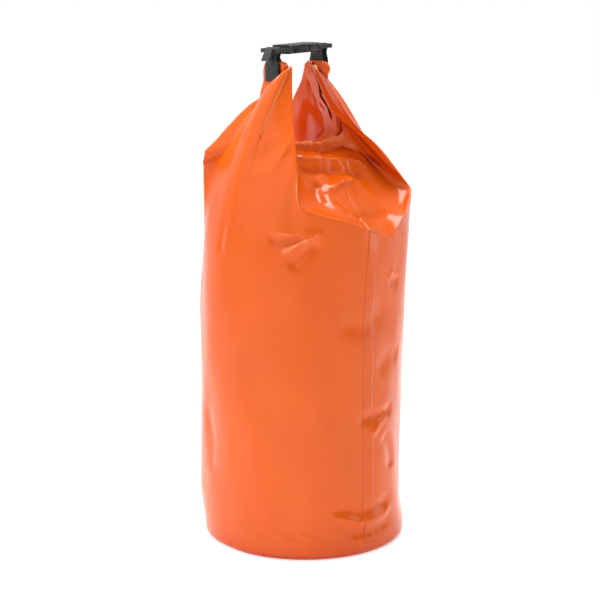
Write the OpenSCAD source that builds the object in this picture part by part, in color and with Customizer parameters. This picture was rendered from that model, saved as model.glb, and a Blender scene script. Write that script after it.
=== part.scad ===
// Roll-top dry bag: a welded tube of coated fabric with a round base, its mouth rolled round a
// stiffener and its two ends drawn together over the bag by a side-release buckle.
// +Z is up, the origin is the middle of the base, +X runs from the plug end of the buckle to the
// socket end, and the tube's lap seam faces -Y. Units are millimetres.

/* [Bag] */
// Outside radius of the filled tube
body_r = 130; // [120:1:140]
// Thickness of the coated fabric
fabric_t = 1; // [0.8:0.1:1.2]
// Height of the straight tube, below the gathered top
tube_h = 360; // [300:5:420]
// Width of the lap where the tube's two edges are welded
seam_w = 18; // [12:1:25]
// Height of the base's upturned skirt
skirt_h = 22; // [15:1:30]

/* [Rolled mouth] */
// Width of the flattened roll
roll_w = 28; // [24:1:29]
// Thickness of the flattened roll
roll_t = 4.6; // [4:0.2:4.8]

/* [Buckle] */
// Width of the webbing
web_w = 30; // [30:1:30]
// Thickness of the webbing
web_t = 1.4; // [1.2:0.1:1.5]
// Overall width of the buckle
buckle_w = 38; // [38:1:42]
// Overall thickness of the buckle
buckle_t = 11; // [10.5:0.5:12]
// Tilt of the buckle, its socket end being the higher
buckle_tilt = 4; // [0:1:6]

/* [Hidden] */
fabric_colour = "orangered";
web_colour = "#1c1c1e";
buckle_colour = "#141416";

lap_t = 0.8;                 // how far the lap stands proud of the tube
lap_gap = 0.05;              // glue line under the lap
weld_gap = 0.4;              // welded layer between skirt and tube
base_t = 1.2;                // thickness of the base disc
seam_angle = -89;            // where the lap lies round the tube
plan_k = body_r / 130;       // the gathered top follows the tube's radius

buckle_x = -13;              // middle of the buckle
buckle_z = tube_h + 263;     // height of the buckle's middle
bar_x = 34.5;                // from the buckle's middle to each webbing bar
bar_r = 2.2;
bar_gap = 0.3;               // room between a bar and the webbing round it
leg_in = bar_r + bar_gap;    // inner face of a webbing leg, from the bar's axis
leg_out = leg_in + web_t;
leg_foot_z = tube_h + 223;   // where the webbing's legs end on the roll
bar_drop = bar_x * sin(buckle_tilt);
left_bar = [buckle_x - bar_x * cos(buckle_tilt), buckle_z - bar_drop];
right_bar = [buckle_x + bar_x * cos(buckle_tilt), buckle_z + bar_drop];

// ---- The gathered top -------------------------------------------------------------------------
// Each guide is one line of the fabric from the tube up to the roll: the angle at which it leaves
// the tube, the point where it turns over the crease, a point half way down the valley, and the
// point where it meets the roll. Heights are above the tube.
front_guides = [
    [184, [-54, -18, 204], [-56, -12, 203], [-56, -4, 201]],
    [191, [-52, -30, 190], [-55, -17, 192], [-57, -4, 190]],
    [203, [-62, -56, 158], [-66, -28, 160], [-67, -4, 158]],
    [228, [-80, -92, 105], [-77, -50, 112], [-74, -3, 124]],
    [246, [-55, -117, 72], [-48, -64, 108], [-46, 0, 100]],
    [270, [0, -130, 49], [0, -56, 120], [0, 2, 94]],
    [285, [34, -126, 40], [36, -50, 123], [26, 1, 95]],
    [303, [72, -108, 60], [64, -62, 98], [52, -2, 102]],
    [322, [104, -80, 88], [82, -56, 88], [72, -6, 122]],
    [333, [100, -58, 118], [88, -36, 122], [79, -10, 140]],
    [343, [82, -40, 146], [80, -26, 148], [76, -12, 160]],
    [351, [50, -28, 192], [53, -17, 190], [53, -6, 188]],
    [356, [35, -18, 206], [37, -12, 205], [37, -4, 203]]
];
back_guides = [
    [176, [-54, 18, 205], [-56, 12, 204], [-56, 4, 201]],
    [169, [-58, 27, 194], [-58, 16, 194], [-57, 4, 190]],
    [158, [-80, 42, 172], [-74, 22, 166], [-67, 4, 158]],
    [143, [-104, 78, 122], [-86, 45, 126], [-74, 5, 124]],
    [120, [-65, 112, 84], [-52, 62, 112], [-46, 8, 100]],
    [90, [0, 130, 60], [0, 60, 116], [0, 10, 94]],
    [72, [40, 124, 64], [36, 58, 118], [26, 9, 95]],
    [55, [75, 106, 80], [62, 58, 114], [52, 6, 102]],
    [41, [96, 84, 102], [82, 46, 120], [72, 2, 122]],
    [32, [88, 66, 138], [82, 38, 138], [79, -2, 140]],
    [20, [64, 54, 172], [70, 26, 166], [76, -4, 160]],
    [10, [38, 34, 198], [46, 18, 194], [53, 4, 188]],
    [4, [35, 18, 207], [37, 12, 206], [37, 4, 203]]
];
guide_last = len(front_guides) - 1;
guides = concat(front_guides, [for (i = [guide_last:-1:0]) back_guides[i]]);
columns_per_guide = 3;
column_n = len(guides) * columns_per_guide;
wall_rows = 6;
valley_rows = 6;
row_n = wall_rows + valley_rows;

function smooth(p, q, r, s, t) =
    0.5 * ((2 * q) + (r - p) * t + (2 * p - 5 * q + 4 * r - s) * t * t + (3 * q - p - 3 * r + s) * t * t * t);

// One value of a guide, blended from its four neighbours round the ring.
function guide_value(field, i, t) =
    let (n = len(guides))
    smooth(guides[(i + n - 1) % n][field], guides[i][field], guides[(i + 1) % n][field],
           guides[(i + 2) % n][field], t);

// Directions are blended, and not angles, because angles jump where the ring closes.
function tube_direction(i, t) =
    let (n = len(guides), a = guides[i][0], b = guides[(i + 1) % n][0],
         v = [cos(a), sin(a)] * (1 - t) + [cos(b), sin(b)] * t)
    v / norm(v);

function lift(p) = [p[0] * plan_k, p[1] * plan_k, p[2] + tube_h];

// A point of the outer skin: u counts columns round the ring, row runs from the tube to the roll.
function skin(u, row) =
    let (c = (u + 2 * column_n) % column_n,
         i = floor(c / columns_per_guide),
         t = c / columns_per_guide - i,
         d = tube_direction(i, t) * body_r,
         foot = [d[0], d[1], tube_h],
         crease = lift(guide_value(1, i, t)),
         middle = lift(guide_value(2, i, t)),
         meet = lift(guide_value(3, i, t)),
         shoulder = [d[0], d[1], tube_h + 0.62 * (crease[2] - tube_h)],
         a = row / wall_rows,
         b = (row - wall_rows) / valley_rows)
    row <= wall_rows
        ? foot * (1 - a) * (1 - a) + shoulder * 2 * a * (1 - a) + crease * a * a
        : crease * (1 - b) * (1 - 2 * b) + middle * 4 * b * (1 - b) + meet * b * (2 * b - 1);

function unit(v) = v / norm(v);

function skin_normal(u, row) =
    let (along = skin(u + 1, row) - skin(u - 1, row),
         up = row == 0 ? [0, 0, 1] : unit(skin(u, row) - skin(u, row - 1)),
         on = row == row_n ? up : unit(skin(u, row + 1) - skin(u, row)))
    unit(cross(unit(along), row == 0 ? up : up + on));

// A closed sheet between two offsets of the skin, over a range of columns and rows.
module skin_sheet(inner, outer, first, last, row_a, row_b) {
    whole = last - first == column_n;
    across = whole ? column_n : last - first + 1;
    rows = row_b - row_a + 1;
    side = across * rows;
    points = [
        for (offset = [outer, inner], r = [row_a:row_b], c = [0:across - 1])
            skin(first + c, r) + skin_normal(first + c, r) * offset
    ];
    steps = whole ? across : across - 1;
    outside = [
        for (r = [0:rows - 2], c = [0:steps - 1])
            let (a = r * across + c, b = r * across + (c + 1) % across)
            each [[a, b + across, b], [a, a + across, b + across]]
    ];
    inside = [for (f = outside) [f[0] + side, f[2] + side, f[1] + side]];
    ends = [
        for (c = [0:steps - 1])
            let (a = c, b = (c + 1) % across, top = (rows - 1) * across)
            each [[a, b, b + side], [a, b + side, a + side],
                  [a + top, b + top + side, b + top], [a + top, a + top + side, b + top + side]]
    ];
    flanks = whole ? [] : [
        for (r = [0:rows - 2])
            let (a = r * across, b = a + across, c = a + across - 1, d = c + across)
            each [[a, a + side, b + side], [a, b + side, b],
                  [c, d + side, c + side], [c, d, d + side]]
    ];
    polyhedron(points, concat(outside, inside, ends, flanks));
}

module gathered_top()
    color(fabric_colour) skin_sheet(-fabric_t, 0, 0, column_n, 0, row_n);

// The tube's lap goes on up the front of the gathered top and over the crease.
module top_seam_lap() {
    front = 5 * columns_per_guide;
    color(fabric_colour) skin_sheet(0.1, lap_t, front - 1, front + 1, 0, row_n - 2);
}

// ---- Tube and base ----------------------------------------------------------------------------
module ring(r_in, r_out, z, h)
    translate([0, 0, z]) rotate_extrude($fn = 180) translate([r_in, 0]) square([r_out - r_in, h]);

module tube_wall()
    color(fabric_colour) ring(body_r - fabric_t, body_r, 0, tube_h - 0.3);

skirt_r = body_r - fabric_t - weld_gap;

module base_disc()
    color(fabric_colour) rotate_extrude($fn = 180)
        polygon([[0, 0], [skirt_r, 0], [skirt_r, skirt_h], [skirt_r - fabric_t, skirt_h],
                 [skirt_r - fabric_t, base_t], [0, base_t]]);

module base_weld_ring()
    color(fabric_colour) ring(skirt_r, body_r - fabric_t, 2, skirt_h - 4);

module side_seam_lap() {
    sweep_angle = seam_w / body_r * 180 / PI;
    color(fabric_colour) translate([0, 0, 1])
        rotate([0, 0, seam_angle - sweep_angle / 2])
            rotate_extrude(angle = sweep_angle, $fn = 180)
                translate([body_r + lap_gap, 0]) square([lap_t, tube_h - 2]);
}

// ---- Rolled mouth -----------------------------------------------------------------------------
// The roll's middle line, in the plane of the buckle: down from the left tab, through the valley
// and up to the right tab.
roll_guides = [
    [left_bar[0], 0, 244], [left_bar[0], 0, 233], [left_bar[0], 0, 222], [left_bar[0] - 1, 0, 211],
    [-55, 0, 182], [-66, 0, 150], [-64, 1, 133], [-36, 4, 121], [0, 6, 119], [38, 4, 122],
    [66, -2, 136], [70, -8, 156], [52, -4, 180], [right_bar[0] + 11.6, -2, 200],
    [right_bar[0] + 1.2, 0, 213], [right_bar[0], 0, 223], [right_bar[0], 0, 236], [right_bar[0], 0, 248]
];
roll_steps = 3;              // rings between two guides of the roll

roll_rings = (len(roll_guides) - 1) * roll_steps;
end_ring = 9;                // where the left end of the roll parts from the rest

function roll_point(k) =
    let (n = len(roll_guides), i = max(0, min(floor(k / roll_steps), n - 2)), t = k / roll_steps - i,
         p = roll_guides[i], q = roll_guides[i + 1],
         before = i == 0 ? 2 * p - q : roll_guides[i - 1],
         after = i == n - 2 ? 2 * q - p : roll_guides[i + 2],
         s = smooth(before, p, q, after, t))
    [s[0], s[1], s[2] + tube_h];

// A flat section, w wide and t thick with cut corners, square to the roll's middle line.
function roll_section(k, w, t, cut) =
    let (along = unit(roll_point(k + 0.5) - roll_point(k - 0.5)),
         thick = unit(cross([0, 1, 0], along)),
         wide = cross(along, thick),
         corners = [[w / 2, t / 2 - cut], [w / 2 - cut, t / 2], [cut - w / 2, t / 2], [-w / 2, t / 2 - cut],
                    [-w / 2, cut - t / 2], [cut - w / 2, -t / 2], [w / 2 - cut, -t / 2], [w / 2, cut - t / 2]])
    [for (c = corners) roll_point(k) + wide * c[0] + thick * c[1]];

// That section swept through whole rings, with one more ring at each end.
module roll_sweep(w, t, cut, first, last) {
    sides = 8;
    stops = [first, for (k = [floor(first) + 1:ceil(last) - 1]) k, last];
    points = [for (k = stops) each roll_section(k, w, t, cut)];
    rings = len(stops) - 1;
    walls = [
        for (k = [0:rings - 1], c = [0:sides - 1])
            let (a = k * sides + c, b = k * sides + (c + 1) % sides)
            each [[a, b, b + sides], [a, b + sides, a + sides]]
    ];
    caps = [[for (c = [sides - 1:-1:0]) c], [for (c = [0:sides - 1]) rings * sides + c]];
    polyhedron(points, concat(walls, caps));
}

// A length of the roll, with the slot inside it that the stiffener lies in.
module roll_length(first, last)
    difference() {
        roll_sweep(roll_w, roll_t, 1.4, first, last);
        roll_sweep(roll_w - 6, 1.9, 0.3, first - 0.02, last + 0.02);
    }

module rolled_mouth() color(fabric_colour) roll_length(end_ring, roll_rings);
module rolled_mouth_end() color(fabric_colour) roll_length(0, end_ring - 0.1);

module mouth_stiffener()
    color("whitesmoke") roll_sweep(roll_w - 7, 1.4, 0.3, end_ring + 0.25, roll_rings - 0.25);

// ---- Webbing tabs -----------------------------------------------------------------------------
// A loop of webbing round a buckle bar, its two legs straddling the end of the roll.
module webbing_tab(bar) {
    leg_h = bar[1] - leg_foot_z;
    translate([bar[0], web_w / 2, bar[1]]) rotate([90, 0, 0]) linear_extrude(web_w) {
        difference() {
            circle(leg_out, $fn = 48);
            circle(leg_in, $fn = 48);
            translate([-leg_out - 1, -2 * leg_out]) square([2 * leg_out + 2, 2 * leg_out]);
        }
        for (x = [-leg_out, leg_in]) translate([x, -leg_h]) square([web_t, leg_h]);
    }
}

module webbing_tab_left() color(web_colour) webbing_tab(left_bar);
module webbing_tab_right() color(web_colour) webbing_tab(right_bar);

stitch_l = 2.6;
stitch_w = 0.6;
stitch_t = 0.3;
stitch_pitch = 3.6;

// A box of separate stitches on both faces of a tab.
module tab_stitches(bar) {
    box_w = 6 * stitch_pitch;
    box_h = 4 * stitch_pitch;
    foot = leg_foot_z + 3;
    for (face = [-1, 1]) translate([bar[0] + face * (leg_out + stitch_t / 2 + 0.02), 0, foot]) {
        for (z = [0, box_h], k = [0:5])
            translate([0, (k - 2.5) * stitch_pitch, z]) cube([stitch_t, stitch_l, stitch_w], center = true);
        for (y = [-box_w / 2, box_w / 2], k = [0:3])
            translate([0, y, (k + 0.5) * stitch_pitch]) cube([stitch_t, stitch_w, stitch_l], center = true);
    }
}

module tab_stitches_left() color("dimgray") tab_stitches(left_bar);
module tab_stitches_right() color("dimgray") tab_stitches(right_bar);

// ---- Buckle -----------------------------------------------------------------------------------
module on_buckle()
    translate([buckle_x, 0, buckle_z]) rotate([0, -buckle_tilt, 0]) children();

mouth_x = -17;               // the socket's open end
socket_end_x = 22;           // the socket's closed end, where its webbing frame begins
frame_end_x = 41;            // outer end of each half's webbing frame
cavity_x = 14;               // how deep the socket's cavity goes
cavity_w = 31;
cavity_t = 6.6;
rail_w = 3.2;
rail_t = 5;
end_bar_w = 1.8;
end_bar_t = 3.8;
lip_w = 15;
edge_r = 4;                  // rounding along the buckle's sides
corner_r = 3.5;              // rounding of its corners in plan

// The buckle's cross-section: flat top and bottom, round sides.
module buckle_section() {
    square([buckle_w - 2 * edge_r, buckle_t], center = true);
    square([buckle_w, buckle_t - 2 * edge_r], center = true);
    for (x = [-1, 1], y = [-1, 1])
        translate([x * (buckle_w / 2 - edge_r), y * (buckle_t / 2 - edge_r)]) circle(edge_r, $fn = 48);
}

// A length of that section with round corners in plan, from x_a to x_b.
module buckle_block(x_a, x_b) {
    length = x_b - x_a;
    intersection() {
        translate([x_a, 0, 0]) rotate([90, 0, 90]) linear_extrude(length) buckle_section();
        translate([(x_a + x_b) / 2, 0, -buckle_t]) linear_extrude(2 * buckle_t) {
            square([length - 2 * corner_r, buckle_w + 2], center = true);
            square([length, buckle_w - 2 * corner_r], center = true);
            for (x = [-1, 1], y = [-1, 1])
                translate([x * (length / 2 - corner_r), y * (buckle_w / 2 - corner_r)])
                    circle(corner_r, $fn = 48);
        }
    }
}

// Two rails, a round bar that holds the webbing and a flat end bar, beyond a block that ends at x_in.
module webbing_frame(x_in) {
    for (y = [-1, 1])
        translate([x_in, y * (buckle_w - rail_w) / 2 - rail_w / 2, -rail_t / 2])
            cube([frame_end_x - x_in, rail_w, rail_t]);
    translate([frame_end_x - end_bar_w, -buckle_w / 2 + rail_w / 2, -end_bar_t / 2])
        cube([end_bar_w, buckle_w - rail_w, end_bar_t]);
    translate([bar_x, buckle_w / 2 - rail_w / 2, 0]) rotate([90, 0, 0])
        cylinder(r = bar_r, h = buckle_w - rail_w, $fn = 48);
}

// A thumb lip in the middle of a frame's end bar: a wedge that tapers to a thin edge, at an angle
// above the buckle's own line.
module thumb_lip(length, angle) {
    tip = length * [cos(angle), sin(angle)];
    side = 0.7 * [-sin(angle), cos(angle)];
    translate([frame_end_x - 1, lip_w / 2, 0]) rotate([90, 0, 0]) linear_extrude(lip_w)
        polygon([[-0.8, -1.9], [0.2, -1.9], tip - side, tip + side, [2.2, 1.9], [-0.8, 1.9]]);
}

module buckle_socket()
    color(buckle_colour) on_buckle() {
        difference() {
            buckle_block(mouth_x, socket_end_x);
            translate([mouth_x - 1, -cavity_w / 2, -cavity_t / 2])
                cube([cavity_x - mouth_x + 1, cavity_w, cavity_t]);
            // Side notches, open to the mouth, where the prongs' pads stand out.
            translate([mouth_x - 1, -buckle_w, -cavity_t / 2])
                cube([8 - mouth_x, 2 * buckle_w, cavity_t]);
            // Thumb scallops in the top and bottom edges of the mouth.
            for (y = [-1, 1]) translate([mouth_x + 12, y * (buckle_w / 2 + 12), -buckle_t])
                cylinder(r = 14, h = 2 * buckle_t, $fn = 96);
            // Grip grooves across the top and bottom faces.
            for (x = [14, 17, 20], z = [-1, 1])
                translate([x, buckle_w / 2, z * (buckle_t / 2 + 0.4)]) rotate([90, 0, 0])
                    cylinder(r = 0.9, h = buckle_w, $fn = 24);
        }
        webbing_frame(socket_end_x - 1);
        thumb_lip(6, 16);
    }

tongue_w = 7;
tongue_t = 5.6;
block_in_x = mouth_x - 0.5;  // the plug's block stops just short of the socket
block_out_x = -24;

module buckle_plug()
    color(buckle_colour) on_buckle() {
        buckle_block(block_out_x, block_in_x);
        difference() {
            translate([block_in_x - 2, -tongue_w / 2, -tongue_t / 2])
                cube([cavity_x - block_in_x, tongue_w, tongue_t]);
            translate([block_in_x + 4, -tongue_w / 4, -tongue_t])
                cube([cavity_x - block_in_x - 12, tongue_w / 2, 2 * tongue_t]);
        }
        mirror([1, 0, 0]) {
            webbing_frame(-block_out_x - 1);
            thumb_lip(15, -52);
        }
    }

prong_t = 5.6;
knuckle_r = 2.2;
knuckle = [block_in_x + knuckle_r + 0.2, 8.6];
pad_y = buckle_w / 2 - 0.2;

// A spring prong: a round root, an arm that bows outwards, and the pad that the fingers squeeze.
module prong()
    translate([0, 0, -prong_t / 2]) linear_extrude(prong_t) {
        translate(knuckle) circle(knuckle_r, $fn = 48);
        polygon([
            [knuckle[0], knuckle[1] - knuckle_r], [-8, 7.6], [-2, 10], [2, 12.4], [7.4, 11.2],
            [12.6, 8.6], [13.2, 9.6], [9, 13.8], [5.8, 16.4], [5.4, pad_y], [-1, pad_y],
            [-5.4, pad_y - 1.6], [-9, 13.6], [knuckle[0] - 0.6, knuckle[1] + knuckle_r]
        ]);
    }

module prong_front() color(buckle_colour) on_buckle() mirror([0, 1, 0]) prong();
module prong_back() color(buckle_colour) on_buckle() prong();

tube_wall();
base_disc();
base_weld_ring();
side_seam_lap();
gathered_top();
top_seam_lap();
rolled_mouth();
rolled_mouth_end();
mouth_stiffener();
webbing_tab_left();
webbing_tab_right();
tab_stitches_left();
tab_stitches_right();
buckle_socket();
buckle_plug();
prong_front();
prong_back();
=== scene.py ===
"""Looks of a roll-top dry bag, built round its CAD model.

The bag's skin is one continuous sheet: a tube that gathers into two raised ears with a valley
between them. Its shape comes from guide lines, then from folds laid over them. The rolled mouth
runs through the valley, and webbing tabs join its ends to the buckle.
Everything is in metres, with +X along the buckle, -Y towards the seam and +Z up.
"""

import math

import bpy
import numpy as np
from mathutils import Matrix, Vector


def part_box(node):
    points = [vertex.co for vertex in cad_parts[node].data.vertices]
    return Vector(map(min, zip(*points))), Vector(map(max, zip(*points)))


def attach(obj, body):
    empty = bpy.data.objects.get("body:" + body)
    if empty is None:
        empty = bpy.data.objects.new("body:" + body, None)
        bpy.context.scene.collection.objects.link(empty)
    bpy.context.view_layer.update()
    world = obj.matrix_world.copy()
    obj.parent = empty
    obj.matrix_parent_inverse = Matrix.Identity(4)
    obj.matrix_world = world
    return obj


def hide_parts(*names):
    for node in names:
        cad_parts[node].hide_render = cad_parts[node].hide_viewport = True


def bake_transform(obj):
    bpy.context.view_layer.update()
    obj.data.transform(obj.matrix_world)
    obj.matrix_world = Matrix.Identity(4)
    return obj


MM = 0.001
BODY_R = 0.130
TUBE_H = 0.360
FOOT_R = 0.008  # rounding where the tube turns in under the base
GRID = 0.0022  # spacing of the skin's mesh
SHARP_WIDTH = 3.5  # ridges up to this half width, in millimetres, have a crisp edge
LEAN = (-0.0032, 0.0024, 0)  # how far the filled tube sags sideways between its foot and the crease
SEAM_ANGLE = -89.0
SEAM_W = 0.018
SEAM_RISE = 0.0008  # how far the welded lap stands proud of the skin
SEAM_SINK = 0.0006  # how far its edges reach under the surface
SEAM_PLAIN_ROW = 55  # a row of the plain tube, which tells the columns that the lap covers
SEAM_FIRST_ROW = 9  # the lap starts just above the foot
SEAM_ROWS_SHORT = 22  # and stops this many rows short of the roll

ROLL_W = 0.030  # in the valley
ROLL_END_W = 0.046  # at both ends
ROLL_T = 0.0078
EDGE_R = 0.0014  # rounding of each layer's edge in the roll
LAYER_STEP = 0.0008  # how far each layer stands back from its inner neighbour
TAPER_RINGS = 7  # rings over which each end of the roll narrows

TAB_W = 0.0296
TAB_T = 0.0014
LOOP_R = 0.0032  # the webbing's turn over the buckle's bar

CAMERA_TURN, CAMERA_PITCH = 37, 11  # degrees from the bag's front and below the horizon
CAMERA_DISTANCE, CAMERA_HEIGHT = 1.79, 0.652
CAMERA_LENS = 85.2
CAMERA_SHIFT = -1 / 120  # of the frame's width

# Guides of the gathered top, in millimetres: the angle at which a line of the fabric leaves the
# tube, the point where it turns over the crease, one half way down the valley, and the point
# where it goes under the rolled mouth.
FRONT_GUIDES = [
    (181, (-59, -8, 580), (-57, -8, 572), (-55, -8, 560)),
    (186, (-56, -21, 588), (-53, -19, 578), (-53, -13, 564)),
    (191, (-43, -26, 600), (-44, -22, 592), (-47, -14, 578)),
    (195, (-38, -23, 600), (-40, -20, 588), (-44, -14, 570)),
    (201, (-45, -36, 570), (-46, -24, 564), (-48, -13, 556)),
    (212, (-60, -60, 524), (-57, -37, 524), (-55, -13, 526)),
    (223, (-73, -81, 482), (-66, -48, 494), (-57, -12, 506)),
    (231, (-84, -99, 443), (-65, -66, 468), (-50, -15, 503)),
    (240, (-66, -112, 431), (-48, -74, 452), (-36, -17, 507)),
    (254, (-35, -125, 421), (-22, -80, 448), (-14, -17, 509)),
    (270, (1, -130, 409), (8, -80, 448), (8, -17, 509)),
    (286, (36, -126, 399), (34, -76, 446), (26, -17, 509)),
    (299, (64, -114, 416), (54, -70, 446), (40, -17, 511)),
    (312, (88, -97, 432), (76, -66, 446), (48, -17, 518)),
    (323, (107, -79, 449), (84, -48, 466), (48, -17, 528)),
    (331, (92, -68, 474), (72, -36, 492), (44, -17, 538)),
    (338, (68, -58, 504), (54, -30, 520), (38, -17, 549)),
    (345, (47, -48, 525), (40, -24, 537), (31, -14, 558)),
    (351, (31, -40, 548), (28, -20, 556), (25, -8, 567)),
    (356, (14, -24, 586), (16, -14, 586), (18, -2, 588)),
    (359, (11, -8, 598), (13, -6, 596), (15, -2, 596)),
]
BACK_GUIDES = [
    (1, (12, 10, 606), (14, 8, 602), (15, 2, 596)),
    (5, (16, 22, 598), (17, 14, 592), (18, 2, 588)),
    (14, (18, 34, 580), (22, 18, 574), (24, 2, 566)),
    (26, (20, 54, 556), (24, 30, 552), (29, 2, 555)),
    (38, (28, 74, 530), (36, 38, 530), (34, 2, 544)),
    (51, (40, 98, 496), (44, 52, 504), (40, 2, 532)),
    (64, (56, 117, 460), (48, 66, 482), (43, 2, 518)),
    (78, (27, 127, 444), (26, 78, 462), (26, 4, 504)),
    (93, (-6, 130, 438), (-6, 80, 458), (0, 6, 500)),
    (108, (-40, 124, 444), (-30, 78, 464), (-22, 6, 500)),
    (126, (-76, 105, 462), (-56, 66, 476), (-40, 8, 503)),
    (142, (-104, 79, 484), (-80, 50, 496), (-54, 11, 510)),
    (149, (-88, 66, 508), (-74, 42, 514), (-57, 13, 520)),
    (156, (-67, 55, 536), (-62, 36, 538), (-56, 13, 540)),
    (163, (-56, 42, 552), (-56, 28, 550), (-54, 13, 550)),
    (170, (-54, 24, 560), (-56, 19, 556), (-55, 13, 552)),
    (176, (-58, 8, 570), (-57, 8, 563), (-55, 8, 555)),
]

# The middle line of the rolled mouth, in millimetres, from its left end down through the valley and
# up to its right end.
ROLL_LINE = [
    (-44, 0, 607), (-44, 0, 596), (-46, 0, 582), (-51, 0, 562), (-57, 0, 540), (-57, 0, 518),
    (-46, 0, 504), (-26, 2, 500), (0, 4, 498), (22, 4, 500), (40, 2, 508), (45, 0, 522),
    (42, 0, 536), (35, 0, 552), (26, 0, 570), (20, 0, 586), (18, 0, 598), (18, 0, 607),
]

# Folds laid over the skin: the part that it shapes, its height, its half width, and the line that
# it follows, all in millimetres.
FOLDS = [
    # The line that runs down the left ear beside its back crease, and the hollow behind it.
    ("wall", 2.0, 3.0, [
        (-46, -20, 575), (-68, -12, 550), (-87, -4, 527), (-106, 6, 506), (-118, 42, 484),
    ]),
    ("wall", -1.8, 6.0, [(-50, -8, 572), (-74, 6, 546), (-96, 14, 522), (-112, 30, 500)]),
    # The dent and the curved ridge low on the left ear.
    ("wall", -4.5, 8.0, [(-128, -6, 470), (-122, -26, 474), (-112, -50, 462)]),
    ("wall", 2.4, 3.5, [(-121, -22, 478), (-97, -58, 481), (-78, -62, 500), (-60, -59, 522)]),
    ("wall", -2.0, 9.0, [(-112, -20, 492), (-96, -44, 496), (-80, -46, 512)]),
    ("wall", 1.8, 3.0, [(-129, -10, 455), (-128, -14, 420), (-128, -8, 372)]),
    ("wall", -1.8, 5.0, [(-130, 0, 462), (-130, -4, 420), (-130, 2, 372)]),
    # The kink that crosses the body under the front crease.
    ("wall", 2.4, 3.0, [(-112, -65, 411), (-88, -96, 406), (-60, -115, 411)]),
    ("wall", 4.2, 3.4, [(-60, -115, 411), (-84, -99, 398), (-100, -82, 384)]),
    ("wall", -4.2, 7.0, [(-110, -70, 400), (-92, -92, 400), (-78, -104, 404)]),
    ("wall", -3.0, 7.0, [(-62, -114, 398), (-80, -102, 384), (-92, -92, 366)]),
    # The hump: a four-sided pillow with creases round it.
    ("valley", 4.6, 5.0, [(-22, -76, 452), (8, -66, 462), (34, -62, 464)]),
    ("valley", 2.0, 6.0, [(-26, -76, 452), (-32, -92, 440), (-20, -112, 424)]),
    ("valley", 3.0, 5.0, [(34, -62, 464), (58, -78, 450), (74, -92, 436)]),
    ("valley", -4.5, 7.0, [(-44, -92, 440), (-40, -76, 452), (-28, -62, 462)]),
    ("valley", -3.0, 8.0, [(-10, -112, 424), (24, -108, 422), (60, -100, 428)]),
    ("valley", 2.0, 3.0, [(14, -64, 462), (26, -78, 450), (48, -92, 436)]),
    # The dark pocket, and the folds that stand up behind it.
    ("valley", -7.0, 5.0, [
        (-56, -44, 484), (-28, -50, 476), (4, -50, 474), (34, -48, 470), (64, -54, 460),
    ]),
    ("valley", 5.0, 5.0, [
        (-50, -32, 500), (-24, -37, 490), (8, -38, 486), (40, -36, 482), (70, -42, 474),
    ]),
    ("valley", -7.0, 5.0, [
        (-44, -18, 510), (-16, -24, 502), (16, -26, 500), (44, -24, 502), (72, -30, 486),
        (88, -52, 468),
    ]),
    # The layered line inside the right ear.
    ("valley", 2.2, 3.6, [
        (16, 8, 594), (22, -2, 570), (27, -10, 556), (36, -24, 542), (52, -40, 524),
        (78, -54, 492), (100, -72, 458),
    ]),
    ("valley", -1.5, 4.5, [
        (18, 16, 584), (25, 6, 560), (32, -6, 546), (42, -20, 532), (58, -34, 512),
        (80, -48, 480),
    ]),
    ("valley", -2.0, 9.0, [(24, 30, 560), (30, 22, 546), (42, 0, 524), (52, -14, 508)]),
    # Dents and wrinkles of the filled tube.
    ("wall", -2.0, 9.0, [(44, -122, 346), (64, -113, 338)]),
    ("wall", 1.4, 5.0, [(40, -124, 352), (68, -111, 346)]),
    ("wall", -3.2, 8.0, [(-12, -130, 172), (10, -130, 177), (28, -127, 175), (56, -118, 180)]),
    ("wall", 2.6, 5.0, [(8, -130, 150), (24, -128, 166), (42, -123, 176)]),
    ("wall", -2.6, 10.0, [(30, -126, 150), (44, -122, 130), (50, -120, 100)]),
    ("wall", -1.6, 10.0, [(-125, 36, 184), (-128, 22, 135), (-127, 24, 90)]),
    ("wall", 3.0, 5.0, [(-53, -119, 59), (-9, -130, 44), (20, -128, 44), (50, -120, 52)]),
    ("wall", -2.8, 8.0, [(-44, -122, 70), (-9, -130, 56), (25, -128, 59), (54, -118, 66)]),
    ("wall", -2.4, 6.0, [(-30, -126, 30), (14, -129, 28), (50, -120, 34)]),
    ("wall", 1.6, 3.5, [(-104, -78, 34), (-90, -94, 26), (-70, -110, 18)]),
    ("wall", 1.6, 3.5, [(-86, -98, 38), (-70, -110, 28), (-46, -122, 18)]),
    ("wall", -2.2, 14.0, [(-40, -124, 300), (0, -130, 290), (40, -124, 310)]),
    ("wall", -2.0, 12.0, [(20, -129, 230), (50, -120, 250), (70, -110, 240)]),
    ("wall", -1.5, 8.0, [(110, -68, 60), (118, -52, 110), (112, -64, 160)]),
]


# ---- Helpers ------------------------------------------------------------------------------------
def make_mesh(name, verts, faces, material, smooth=True):
    mesh = bpy.data.meshes.new(name)
    mesh.from_pydata([tuple(map(float, v)) for v in verts], [], faces)
    mesh.update()
    if smooth:
        mesh.polygons.foreach_set("use_smooth", [True] * len(mesh.polygons))
    mesh.materials.append(material)
    piece = bpy.data.objects.new(name, mesh)
    bpy.context.scene.collection.objects.link(piece)
    return piece


def grid_faces(rows, columns, wrap):
    """Quads of a grid of rows by columns, closed round the columns when wrap is true."""
    faces = []
    for r in range(rows - 1):
        for c in range(columns if wrap else columns - 1):
            a, b = r * columns + c, r * columns + (c + 1) % columns
            faces.append((a, b, b + columns, a + columns))
    return faces


def make_solid(name, rings, material):
    """A closed solid through rings of points, with a flat cap at each end."""
    rings = np.array(rings)
    count = rings.shape[1]
    faces = grid_faces(len(rings), count, True)
    faces += [tuple(range(count))[::-1], tuple((len(rings) - 1) * count + c for c in range(count))]
    return make_mesh(name, rings.reshape(-1, 3), faces, material)


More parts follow.
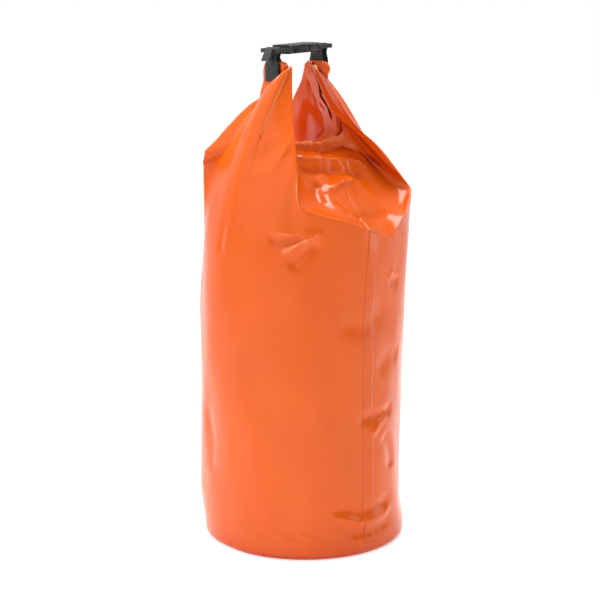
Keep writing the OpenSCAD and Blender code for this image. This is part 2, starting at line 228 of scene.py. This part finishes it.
def smooth_step(x, low, high):
    t = np.clip((x - low) / (high - low), 0, 1)
    return t * t * (3 - 2 * t)


def spline(p, q, r, s, f):
    """The smooth line from q to r, at f from 0 to 1, where p comes before them and s after."""
    return 0.5 * (2 * q + (r - p) * f + (2 * p - 5 * q + 4 * r - s) * f**2 + (3 * q - p - 3 * r + s) * f**3)


def smooth_line(points, t):
    """A smooth open line through points, at t from 0 to len(points) - 1."""
    points = np.asarray(points, float)
    padded = np.vstack([2 * points[0] - points[1], points, 2 * points[-1] - points[-2]])
    i = np.clip(np.floor(t).astype(int), 0, len(points) - 2)
    return spline(*(padded[i + k] for k in range(4)), (t - i)[:, None])


def distance_to_line(points, line):
    """Each point's distance to a polyline, and how far along it the nearest place lies, 0 to 1."""
    line = np.asarray(line, float)
    lengths = np.linalg.norm(np.diff(line, axis=0), axis=1)
    starts = np.concatenate([[0], np.cumsum(lengths)])
    best = np.full(len(points), np.inf)
    along = np.zeros(len(points))
    for k, (a, b) in enumerate(zip(line[:-1], line[1:])):
        t = np.clip((points - a) @ (b - a) / lengths[k] ** 2, 0, 1)
        d = np.linalg.norm(points - (a + t[:, None] * (b - a)), axis=1)
        nearer = d < best
        best = np.where(nearer, d, best)
        along = np.where(nearer, (starts[k] + t * lengths[k]) / starts[-1], along)
    return best, along


# ---- The skin -----------------------------------------------------------------------------------
def ring_columns(guides):
    """Where the mesh's columns lie, counted in guides round the ring."""
    stations = []
    for i, guide in enumerate(guides):
        other = guides[(i + 1) % len(guides)]
        turn = abs((other[0] - guide[0] + 180) % 360 - 180)
        foot = math.radians(turn) * BODY_R
        crease = np.linalg.norm(np.subtract(other[1], guide[1])) * MM
        count = max(2, round(max(foot, 0.7 * crease) / GRID))
        stations += [i + k / count for k in range(count)]
    return np.array(stations)


def ring_blend(values, stations):
    """Values of the guides blended smoothly round the closed ring."""
    values = np.asarray(values, float)
    n = len(values)
    i = np.floor(stations).astype(int)
    return spline(*(values[(i + k) % n] for k in (-1, 0, 1, 2)), (stations - i)[:, None])


def bezier(p, q, r, s, t):
    return p * (1 - t) ** 3 + 3 * q * t * (1 - t) ** 2 + 3 * r * t**2 * (1 - t) + s * t**3


def grid_normals(rows):
    """Outward normals of a grid that is closed round its columns."""
    across = np.roll(rows, -1, axis=1) - np.roll(rows, 1, axis=1)
    up = np.gradient(rows, axis=0)
    normals = np.cross(across, up)
    return normals / np.maximum(np.linalg.norm(normals, axis=2, keepdims=True), 1e-9)


def relax_rows(rows, first, last, times):
    """Rounds the rows from first to last, to turn a sharp crease into a small radius."""
    for _ in range(times):
        below, above = rows[first - 1 : last - 1], rows[first + 1 : last + 1]
        rows[first:last] = 0.25 * below + 0.5 * rows[first:last] + 0.25 * above
    return rows


def skin_rows():
    """The skin as rows of points from the floor up over the crease to the rolled mouth."""
    guides = FRONT_GUIDES + BACK_GUIDES
    stations = ring_columns(guides)
    angles = np.radians([g[0] for g in guides])
    # Each line of the fabric leaves the tube at its foot, bends at a knee and goes by a shoulder to
    # the crease.
    direction = ring_blend(np.column_stack([np.cos(angles), np.sin(angles)]), stations)
    direction /= np.linalg.norm(direction, axis=1, keepdims=True)
    crease, middle, meet = (ring_blend([g[k] for g in guides], stations) * MM for k in (1, 2, 3))
    foot = np.column_stack([direction * BODY_R, np.full(len(stations), TUBE_H)])
    rise = crease[:, 2] - TUBE_H
    up = np.array([0, 0, 1.0])
    knee = foot + up * np.minimum(0.55 * rise, 0.075)[:, None]
    outward = np.column_stack([direction, np.zeros(len(stations))])
    shoulder = crease + (knee - crease) * 0.38 + outward * (0.10 * np.maximum(rise - 0.08, 0))[:, None]
    body = [foot * [1, 1, 0] + up * z for z in np.arange(FOOT_R, TUBE_H - 0.5 * GRID, GRID)]
    wall = [bezier(foot, knee, shoulder, crease, t) for t in np.linspace(0, 1, 62)]
    valley = [
        crease * (1 - t) * (1 - 2 * t) + middle * 4 * t * (1 - t) + meet * t * (2 * t - 1)
        for t in np.linspace(0, 1, 56)[1:]
    ]
    # The last rows turn over towards the roll, so that the sheet doesn't end in a bare edge.
    tuck = 0.008
    inwards = -np.sign(meet[:, 1:2]) * [0, 1, 0]
    for a in (0.35, 0.7, 1.05):
        valley.append(meet + inwards * tuck * math.sin(a) - up * tuck * (1 - math.cos(a)))
    rows = np.array(body + wall + valley)
    crease_row = len(body) + len(wall) - 1
    return relax_rows(rows, crease_row - 3, crease_row + 4, 3), crease_row


def ripple(points, normals):
    """Slow unevenness of a filled, glossy sheet, and the sideways sag of the tube.

    Each wave has its count round the tube, its rate up it, its phase and its height in millimetres.
    """
    angle = np.arctan2(points[..., 1], points[..., 0])
    z = points[..., 2]
    waves = [
        (3, 5.0, 0.4, 1.3),
        (5, -8.0, 1.9, 1.1),
        (8, 13.0, 4.1, 0.60),
        (2, 21.0, 2.6, 0.75),
        (11, -24.0, 0.7, 0.38),
        (17, 31.0, 5.2, 0.17),
        (6, 52.0, 3.3, 0.24),
        (23, -44.0, 1.1, 0.09),
    ]
    height = sum(a * np.sin(n * angle + k * z + p) for n, k, p, a in waves) * MM
    height *= 0.35 + 0.65 * smooth_step(z, 0.0, 0.08)
    lean = smooth_step(z, 0.0, 0.06) * (1 - smooth_step(z, 0.30, 0.40))
    return points + normals * height[..., None] + lean[..., None] * LEAN


def add_folds(rows, crease_row):
    """Raises or sinks the skin along each line of FOLDS, fading out at both ends of the line."""
    for part, height, width, line in FOLDS:
        normals = grid_normals(rows)
        first, last = (0, crease_row + 1) if part == "wall" else (crease_row, len(rows))
        flat = rows[first:last].reshape(-1, 3)
        d, along = distance_to_line(flat, np.asarray(line) * MM)
        sharpness = 1.15 if 0 < height and width <= SHARP_WIDTH else 2.0
        profile = np.exp(-((d / (width * MM)) ** sharpness))
        profile *= smooth_step(along, -0.01, 0.18) * smooth_step(1 - along, -0.01, 0.18)
        flat = flat + normals[first:last].reshape(-1, 3) * (profile * height * MM)[:, None]
        rows[first:last] = flat.reshape(rows[first:last].shape)
    return rows


def foot_rows(rows):
    """The base's rings, and the skin with the rounded edge that turns in under it."""
    lowest = rows[0]
    flat = lowest * [1, 1, 0]
    outward = flat / np.linalg.norm(lowest[:, :2], axis=1, keepdims=True)
    turned = []
    for a in np.radians([0, 20, 40, 60, 80]):
        inset = outward * 0.007 * (1 - math.sin(a))
        turned.append(flat - inset + [0, 0, FOOT_R * (1 - math.cos(a))])
    base = [turned[0] * [s, s, 0] + [0, 0, 0.0012 * (1 - s)] for s in (0.04, 0.3, 0.6, 0.85, 0.96)]
    return np.array(base), np.concatenate([np.array(turned), rows])


def build_skin(material):
    rows, crease_row = skin_rows()
    rows = add_folds(rows, crease_row)
    rows = ripple(rows, grid_normals(rows))
    base_rings, rows = foot_rows(rows)
    count = rows.shape[1]
    skin = make_mesh("bag_skin", rows.reshape(-1, 3), grid_faces(len(rows), count, True), material)
    panel = np.concatenate([base_rings, rows[:1]])
    faces = grid_faces(len(panel), count, True) + [tuple(range(count))[::-1]]
    base = make_mesh("base_panel", panel.reshape(-1, 3), faces, material)
    return skin, base, rows


def build_seam(rows, material):
    """The welded lap: a strip that lies on the skin from the base up over the front crease."""
    normals = grid_normals(rows)
    plain = rows[SEAM_PLAIN_ROW]
    angle = np.arctan2(plain[:, 1], plain[:, 0])
    offset = (angle - math.radians(SEAM_ANGLE)) * BODY_R
    chosen = np.where(np.abs(offset) < SEAM_W / 2)[0]
    chosen = chosen[np.argsort(offset[chosen])]
    first, last = SEAM_FIRST_ROW, len(rows) - SEAM_ROWS_SHORT
    middle, outward = rows[first:last][:, chosen], normals[first:last][:, chosen]
    strip = middle + outward * SEAM_RISE
    under = middle - outward * SEAM_SINK
    wide = np.concatenate([under[:, :1], strip, under[:, -1:]], axis=1)
    faces = grid_faces(len(wide), wide.shape[1], False)
    return make_mesh("welded_seam", wide.reshape(-1, 3), faces, material)


# ---- The rolled mouth ---------------------------------------------------------------------------
def roll_profile(wide, thick, layers=4):
    """Outline of a flattened roll, with a groove between its layers at both edges."""
    points = []
    steps = 10
    for side in (1, -1):
        for layer in range(layers):
            low = -thick / 2 + thick * layer / layers
            high = low + thick / layers
            for k in range(steps + 1):
                a = math.pi * (k / steps - 0.5)
                reach = wide / 2 - LAYER_STEP * abs(layer - (layers - 1) / 2)
                t = (low + high) / 2 + (high - low) / 2 * math.sin(a)
                points.append((side * (reach - EDGE_R + EDGE_R * math.cos(a)), side * t))
    return points


def build_roll(material):
    t = np.linspace(0, len(ROLL_LINE) - 1, 150)
    line = smooth_line(np.array(ROLL_LINE) * MM, t)
    along = np.gradient(line, axis=0)
    along /= np.linalg.norm(along, axis=1, keepdims=True)
    side = np.array([0, 1.0, 0])
    rings = []
    for k, (p, d) in enumerate(zip(line, along)):
        edge = min(k, len(t) - 1 - k) / TAPER_RINGS
        narrow = 1 - 0.34 * max(0, 1 - edge) ** 2
        out = np.cross(side, d)
        sway = 0.0012 * math.sin(k * 0.21) + 0.0006 * math.sin(k * 0.57 + 1)
        widens = (0.535, 0.560) if p[0] < 0 else (0.575, 0.598)
        wide = ROLL_W + (ROLL_END_W - ROLL_W) * smooth_step(p[2], *widens)
        swell = 1 + 0.1 * math.sin(k * 0.33)
        section = roll_profile(wide * narrow, ROLL_T)
        rings.append([p + side * (w + sway) + out * h * swell for w, h in section])
    return make_solid("rolled_mouth_band", rings, material)


# ---- Webbing ------------------------------------------------------------------------------------
def build_tab(name, node, material, pinch):
    """A webbing loop round a buckle bar, with both legs sewn to the end of the roll."""
    low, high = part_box(node)
    x_mid, z_bar = (low.x + high.x) / 2, high.z - LOOP_R - TAB_T / 2
    path = []
    for z in np.linspace(low.z, z_bar, 26):
        path.append((x_mid - LOOP_R, z))
    for a in np.linspace(math.pi, 0, 12)[1:-1]:
        path.append((x_mid + LOOP_R * math.cos(a), z_bar + LOOP_R * math.sin(a)))
    for z in np.linspace(z_bar, low.z, 26):
        path.append((x_mid + LOOP_R, z))
    path = np.array(path)
    tangent = np.gradient(path, axis=0)
    tangent /= np.linalg.norm(tangent, axis=1, keepdims=True)
    normal = np.column_stack([-tangent[:, 1], tangent[:, 0]])
    sides, rings = 12, []
    for (x, z), n in zip(path, normal):
        squeeze = 1 - pinch * math.exp(-(((z - (z_bar - 0.008)) / 0.006) ** 2))
        ring = []
        for face, order in ((1, range(sides)), (-1, range(sides - 1, -1, -1))):
            for s in order:
                y = (s / (sides - 1) - 0.5) * TAB_W
                buckled = 0.0016 * (1 - squeeze) * math.cos(y / (TAB_W / 2) * math.pi * 1.5)
                half = TAB_T / 2 if 0 < s < sides - 1 else TAB_T / 4
                away = buckled + face * half
                ring.append((x + n[0] * away, y * squeeze, z + n[1] * away))
        rings.append(ring)
    return make_solid(name, rings, material)


# ---- Materials ----------------------------------------------------------------------------------
class Shader:
    """A material with a Principled shader, and short ways to add the nodes that feed it."""

    def __init__(self, name, **sockets):
        self.material = bpy.data.materials.new(name)
        self.material.use_nodes = True
        self.nodes = self.material.node_tree.nodes
        self.main = self.nodes["Principled BSDF"]
        self.coords = self.add("ShaderNodeTexCoord").outputs["Object"]
        for socket, value in sockets.items():
            self.main.inputs[socket.replace("_", " ")].default_value = value

    def add(self, kind, **settings):
        node = self.nodes.new(kind)
        for key, value in settings.items():
            setattr(node, key, value)
        return node

    def link(self, out, into):
        self.material.node_tree.links.new(out, into)

    def noise(self, scale, detail=4.0, roughness=0.5, stretch=(1, 1, 1)):
        mapping = self.add("ShaderNodeMapping")
        mapping.inputs["Scale"].default_value = stretch
        self.link(self.coords, mapping.inputs["Vector"])
        node = self.add("ShaderNodeTexNoise")
        node.inputs["Scale"].default_value = scale
        node.inputs["Detail"].default_value = detail
        node.inputs["Roughness"].default_value = roughness
        self.link(mapping.outputs["Vector"], node.inputs["Vector"])
        return node.outputs["Fac"]

    def wave(self, scale, direction, distortion=0.0):
        node = self.add("ShaderNodeTexWave", bands_direction=direction)
        node.inputs["Scale"].default_value = scale
        node.inputs["Distortion"].default_value = distortion
        self.link(self.coords, node.inputs["Vector"])
        return node.outputs["Fac"]

    def ramp(self, fac, stops):
        node = self.add("ShaderNodeValToRGB")
        elements = node.color_ramp.elements
        while len(elements) < len(stops):
            elements.new(0.5)
        for element, (position, colour) in zip(elements, stops):
            element.position = position
            element.color = (*colour, 1)
        self.link(fac, node.inputs["Fac"])
        return node.outputs["Color"]

    def spread(self, fac, low, high, start=0.0, end=1.0):
        """Stretches fac from start..end to low..high."""
        node = self.add("ShaderNodeMapRange")
        for socket, value in (("From Min", start), ("From Max", end), ("To Min", low), ("To Max", high)):
            node.inputs[socket].default_value = value
        self.link(fac, node.inputs["Value"])
        return node.outputs["Result"]

    def blend(self, fac, colour, other):
        """Mixes two colours. The node keeps its colour sockets at inputs 6 and 7 and output 2."""
        node = self.add("ShaderNodeMix", data_type="RGBA")
        self.link(fac, node.inputs["Factor"])
        self.link(colour, node.inputs[6])
        node.inputs[7].default_value = (*other, 1)
        return node.outputs[2]

    def combine(self, operation, a, b):
        node = self.add("ShaderNodeMath", operation=operation)
        self.link(a, node.inputs[0])
        self.link(b, node.inputs[1])
        return node.outputs["Value"]

    def bump(self, *layers):
        """Layers of (height, strength, distance), each added on the one before."""
        last = None
        for height, strength, distance in layers:
            node = self.add("ShaderNodeBump")
            node.inputs["Strength"].default_value = strength
            node.inputs["Distance"].default_value = distance
            self.link(height, node.inputs["Height"])
            if last is not None:
                self.link(last, node.inputs["Normal"])
            last = node.outputs["Normal"]
        self.link(last, self.main.inputs["Normal"])


def coated_fabric(name, tint=1.0, crease_highlight=0.8):
    """Glossy coated fabric: mottled orange, with painted shade that deepens it in folds and hollows, and a
    painted highlight that turns sharp creases pale.
    """
    s = Shader(name, IOR=1.33, Specular_IOR_Level=0.5, Coat_Weight=0.08, Coat_Roughness=0.05)
    mottle = s.noise(9.0, 5.0, 0.6)
    darker, lighter = (0.66 * tint, 0.090 * tint, 0.003), (0.72 * tint, 0.106 * tint, 0.004)
    colour = s.ramp(mottle, [(0.3, darker), (0.7, lighter)])
    # Painted shade: an ambient occlusion mask darkens the colour towards deep red in folds and hollows,
    # where shade falls.
    hollow = s.add("ShaderNodeAmbientOcclusion", samples=6)
    hollow.inputs["Distance"].default_value = 0.085
    painted_fold_shade = s.spread(hollow.outputs["AO"], 1.0, 0.0, 0.12, 0.60)
    colour = s.blend(painted_fold_shade, colour, (0.38, 0.010, 0.004))
    # Painted highlight: a curvature (pointiness) mask turns sharp creases pale orange, standing in for
    # light caught along the crease edges.
    crease = s.spread(s.add("ShaderNodeNewGeometry").outputs["Pointiness"], 0.0, crease_highlight, 0.525, 0.58)
    colour = s.blend(crease, colour, (0.95, 0.36, 0.16))
    s.link(colour, s.main.inputs["Base Color"])
    s.link(s.spread(s.noise(38.0, 6.0, 0.65), 0.17, 0.27), s.main.inputs["Roughness"])
    s.bump(
        (s.noise(26.0, 3.0, 0.5, (1, 1, 0.6)), 0.30, 0.0010),
        (s.noise(900.0, 2.0), 0.06, 0.0002),
    )
    return s.material


def woven_webbing(name):
    s = Shader(name, Specular_IOR_Level=0.3, Sheen_Weight=0.25, Sheen_Roughness=0.4)
    warp = s.wave(130.0, "Y")
    weft = s.wave(190.0, "Z", 0.6)
    weave = s.combine("MULTIPLY", warp, weft)
    colour = s.ramp(weave, [(0.0, (0.006, 0.006, 0.007)), (1.0, (0.030, 0.030, 0.033))])
    s.link(colour, s.main.inputs["Base Color"])
    s.link(s.spread(s.noise(300.0), 0.6, 0.8), s.main.inputs["Roughness"])
    s.bump((weave, 0.8, 0.0006), (s.noise(1500.0), 0.3, 0.0002))
    return s.material


def moulded_plastic(name):
    s = Shader(name, Specular_IOR_Level=0.5)
    colour = s.ramp(s.noise(60.0, 4.0), [(0.3, (0.010, 0.010, 0.011)), (0.7, (0.017, 0.017, 0.019))])
    s.link(colour, s.main.inputs["Base Color"])
    s.link(s.spread(s.noise(140.0, 5.0, 0.6), 0.34, 0.50), s.main.inputs["Roughness"])
    s.bump((s.noise(1800.0, 2.0), 0.18, 0.0002))
    return s.material


def sewing_thread(name):
    s = Shader(name, Sheen_Weight=0.2)
    twist = s.wave(900.0, "DIAGONAL")
    colour = s.ramp(twist, [(0.0, (0.02, 0.02, 0.022)), (1.0, (0.07, 0.07, 0.075))])
    s.link(colour, s.main.inputs["Base Color"])
    s.link(s.spread(s.noise(400.0), 0.5, 0.7), s.main.inputs["Roughness"])
    s.bump((twist, 0.5, 0.0003))
    return s.material


# ---- Studio -------------------------------------------------------------------------------------
def aim(thing, target):
    direction = Vector(target) - thing.location
    thing.rotation_euler = direction.to_track_quat("-Z", "Y").to_euler()


def area_light(name, place, target, size, power, colour=(1, 1, 1)):
    data = bpy.data.lights.new(name, "AREA")
    data.shape = "RECTANGLE"
    data.size, data.size_y = size
    data.energy = power
    data.color = colour
    lamp = bpy.data.objects.new(name, data)
    bpy.context.scene.collection.objects.link(lamp)
    lamp.location = place
    aim(lamp, target)


def white_paper(glow):
    paper = Shader("white_paper", Roughness=0.8)
    colour = paper.ramp(paper.noise(3.0), [(0.3, (0.93, 0.93, 0.93)), (0.7, (0.96, 0.96, 0.96))])
    paper.link(colour, paper.main.inputs["Base Color"])
    paper.main.inputs["Emission Color"].default_value = (1, 1, 1, 1)
    paper.main.inputs["Emission Strength"].default_value = glow
    return paper.material


def build_world():
    """White all round to the camera. As a light it is softer, and weaker from the front right."""
    world = bpy.data.worlds.new("studio")
    bpy.context.scene.world = world
    world.use_nodes = True
    background = world.node_tree.nodes["Background"]
    background.inputs["Color"].default_value = (1, 1, 1, 1)
    nodes, links = world.node_tree.nodes, world.node_tree.links
    side = nodes.new("ShaderNodeVectorMath")
    side.operation = "DOT_PRODUCT"
    side.inputs[1].default_value = (0.62, -0.76, -0.17)
    level = nodes.new("ShaderNodeMapRange")
    for socket, value in (("From Min", -0.1), ("From Max", 0.9), ("To Min", 0.66), ("To Max", 0.26)):
        level.inputs[socket].default_value = value
    links.new(nodes.new("ShaderNodeTexCoord").outputs["Generated"], side.inputs[0])
    links.new(side.outputs["Value"], level.inputs["Value"])
    seen = nodes.new("ShaderNodeMath")
    seen.operation = "MAXIMUM"
    links.new(nodes.new("ShaderNodeLightPath").outputs["Is Camera Ray"], seen.inputs[0])
    links.new(level.outputs["Result"], seen.inputs[1])
    links.new(seen.outputs["Value"], background.inputs["Strength"])


def build_studio():
    scene = bpy.context.scene
    scene.view_settings.view_transform = "Standard"
    build_world()

    corners = [(-9, -9, 0), (9, -9, 0), (9, 9, 0), (-9, 9, 0)]
    floor = make_mesh("floor", corners, [(0, 1, 2, 3)], white_paper(0.48), smooth=False)

    turn, pitch = math.radians(CAMERA_TURN), math.radians(CAMERA_PITCH)
    lens = bpy.data.cameras.new("camera")
    lens.sensor_width = 36
    lens.lens = CAMERA_LENS
    camera = bpy.data.objects.new("camera", lens)
    scene.collection.objects.link(camera)
    ahead = Vector((math.sin(turn), math.cos(turn), 0))
    camera.location = (-ahead.x * CAMERA_DISTANCE, -ahead.y * CAMERA_DISTANCE, CAMERA_HEIGHT)
    view = ahead * math.cos(pitch) + Vector((0, 0, -math.sin(pitch)))
    camera.rotation_euler = view.to_track_quat("-Z", "Y").to_euler()
    lens.shift_x = CAMERA_SHIFT
    scene.camera = camera

    right = Vector((math.cos(turn), -math.sin(turn), 0))
    towards = -ahead
    area_light("key", towards * 1.3 - right * 1.5 + Vector((0, 0, 1.5)), (0, 0, 0.35), (2.4, 2.4), 16.5)
    area_light("rim", right * 1.6 + towards * 0.1 + Vector((0, 0, 0.8)), (0, 0, 0.3), (0.12, 1.5), 3)
    area_light("top", towards * -0.15 + Vector((0, 0, 1.9)), (0, 0, 0.4), (0.8, 0.8), 25)
    area_light("left", towards * -0.45 - right * 0.85 + Vector((0, 0, 1.6)), (0, 0, 0.52), (0.4, 0.4), 8)


# ---- Assembly -----------------------------------------------------------------------------------
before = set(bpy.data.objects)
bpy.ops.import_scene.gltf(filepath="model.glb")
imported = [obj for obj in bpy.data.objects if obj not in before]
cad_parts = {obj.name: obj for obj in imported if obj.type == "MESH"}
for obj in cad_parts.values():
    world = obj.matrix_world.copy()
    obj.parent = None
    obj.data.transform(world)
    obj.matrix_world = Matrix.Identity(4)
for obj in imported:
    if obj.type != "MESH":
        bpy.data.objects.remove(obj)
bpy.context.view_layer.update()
build_studio()

orange = coated_fabric("orange_coated_fabric")
black_webbing = woven_webbing("black_webbing")
black_plastic = moulded_plastic("black_moulded_plastic")
thread = sewing_thread("sewing_thread")

skin, base_panel, skin_grid = build_skin(orange)
# The last argument weakens the painted crease highlight on the lap.
seam = build_seam(skin_grid, coated_fabric("welded_orange_fabric", 0.96, 0.2))
roll = build_roll(coated_fabric("rolled_orange_fabric"))
tab_left = build_tab("webbing_left", "webbing_tab_left", black_webbing, 0.45)
tab_right = build_tab("webbing_right", "webbing_tab_right", black_webbing, 0.2)

for piece in (skin, roll):
    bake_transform(piece)
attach(seam, "bag")
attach(base_panel, "bag")
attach(tab_left, "plug_end")
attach(tab_right, "bag")

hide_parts("tube_wall", "gathered_top")
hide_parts("base_disc", "base_weld_ring")
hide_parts("side_seam_lap", "top_seam_lap")
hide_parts("rolled_mouth", "rolled_mouth_end", "mouth_stiffener")
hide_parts("webbing_tab_left")
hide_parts("webbing_tab_right")

for node, material in (
    ("buckle_socket", black_plastic),
    ("buckle_plug", black_plastic),
    ("prong_front", black_plastic),
    ("prong_back", black_plastic),
    ("tab_stitches_left", thread),
    ("tab_stitches_right", thread),
):
    for slot in bpy.data.objects[node].material_slots:
        slot.material = material
